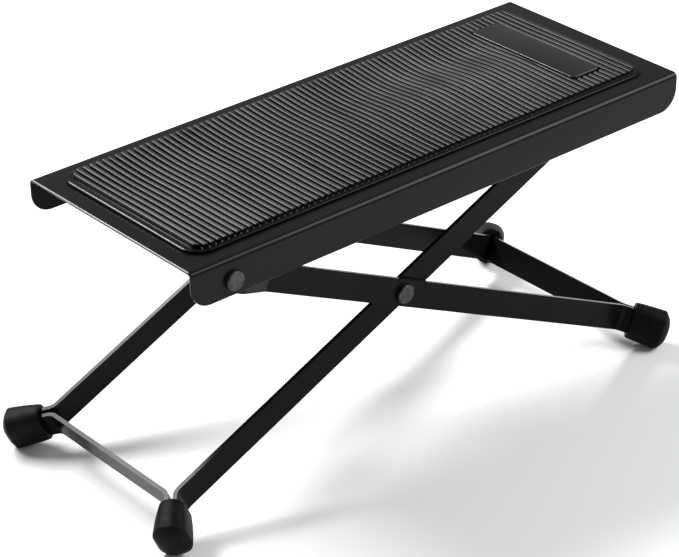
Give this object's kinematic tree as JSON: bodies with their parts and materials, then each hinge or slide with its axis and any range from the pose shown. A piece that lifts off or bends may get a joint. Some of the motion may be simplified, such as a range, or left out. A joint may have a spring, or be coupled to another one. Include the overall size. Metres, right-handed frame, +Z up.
{
  "type": "guitar footrest",
  "caption": "Folding footrest for guitarists: ribbed rubber tread on a flanged steel deck, carried by crossed strap legs with rubber boots, its height set by a rod in notched racks.",
  "frame": {"origin": "on the floor, under the middle of the bounding box", "axes": "+X along the deck to its free, slightly higher end; +Y across the deck; +Z up"},
  "size_m": [0.3112, 0.1324, 0.1462],
  "materials": {
    "deck_paint": "satin black powder coat",
    "strap_paint": "satin black powder coat",
    "tread_rubber": "ribbed, matt with a slight sheen",
    "boot_rubber": "matt, slightly scuffed",
    "badge_gloss": "smooth and blank",
    "rivet_steel": "dark nickel plated",
    "rack_steel": "zinc plated"
  },
  "bodies": {
    "deck_pivots": {"deck_rivet_near": "rivet_steel", "deck_rivet_far": "rivet_steel", "deck_washer_near": "rack_steel", "deck_washer_far": "rack_steel"},
    "platform": {"deck_plate": "deck_paint", "rubber_pad": "tread_rubber", "badge_plate": "badge_gloss", "notch_rack_near": "rack_steel", "notch_rack_far": "rack_steel"},
    "outer_frame": {"outer_leg_frame": "strap_paint", "cross_rivet_near": "rivet_steel", "cross_rivet_far": "rivet_steel", "cross_washer_near": "rack_steel", "cross_washer_far": "rack_steel", "foot_boot_right_near": "boot_rubber", "foot_boot_right_far": "boot_rubber"},
    "inner_frame": {"inner_leg_frame": "strap_paint", "cross_rod": "rack_steel", "foot_boot_left_near": "boot_rubber", "foot_boot_left_far": "boot_rubber"}
  },
  "joints": [
    {"name": "deck_lift", "type": "hinge", "parent": "deck_pivots", "child": "platform", "pos_m": [-0.11494, 0, 0.12101], "axis": [0, -1, 0], "range_deg": [-1.2, 6]},
    {"name": "fold", "type": "hinge", "parent": "deck_pivots", "child": "outer_frame", "pos_m": [-0.11494, 0, 0.12101], "axis": [0, 1, 0], "range_deg": [-24.6, 18]},
    {"name": "scissor", "type": "hinge", "parent": "outer_frame", "child": "inner_frame", "pos_m": [-0.01134, 0, 0.07692], "axis": [0, 1, 0], "range_deg": [-36, 49.2]}
  ],
  "couplings": [
    {"joint": "scissor", "follows": "fold", "ratio": -2}
  ]
}
